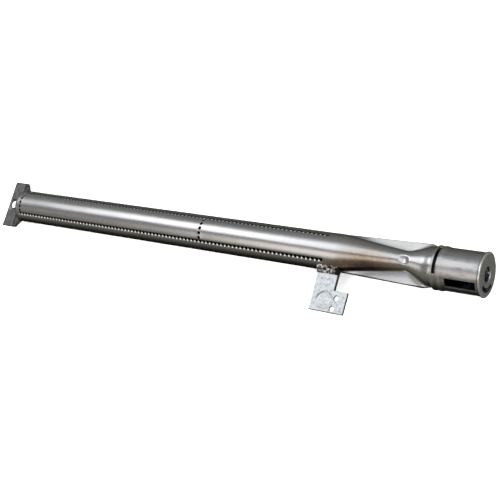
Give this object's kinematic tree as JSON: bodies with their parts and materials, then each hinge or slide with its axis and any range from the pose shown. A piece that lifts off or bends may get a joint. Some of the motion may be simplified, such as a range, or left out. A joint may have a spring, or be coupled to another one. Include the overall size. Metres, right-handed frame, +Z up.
{
  "type": "tube burner with air shutter",
  "caption": "Ported steel tube gas burner with a pressed venturi, a pinched mounting tail, a side bracket and an air shutter that turns on the mixer end.",
  "frame": {"origin": "on the tube axis, in the middle of the rolled rim that the gas jet enters", "axes": "+X along the tube out of the gas inlet, +Z up through the middle of the port rows, +Y to the side away from the bracket"},
  "size_m": [0.4171, 0.06, 0.0284],
  "materials": {
    "tube_steel": "satin formed stainless steel",
    "shutter_steel": "satin rolled stainless steel",
    "galvanised_plate": "galvanised sheet with a fine spangle",
    "weld_metal": "rough weld bead with heat tint"
  },
  "bodies": {
    "burner": {"burner_tube": "tube_steel", "side_bracket": "galvanised_plate", "bracket_weld": "weld_metal"},
    "shutter": {"air_shutter": "shutter_steel"}
  },
  "joints": [
    {"name": "air_shutter_turn", "type": "hinge", "parent": "burner", "child": "shutter", "pos_m": [0, 0, 0], "axis": [1, 0, 0], "range_deg": [-40, 40]}
  ]
}
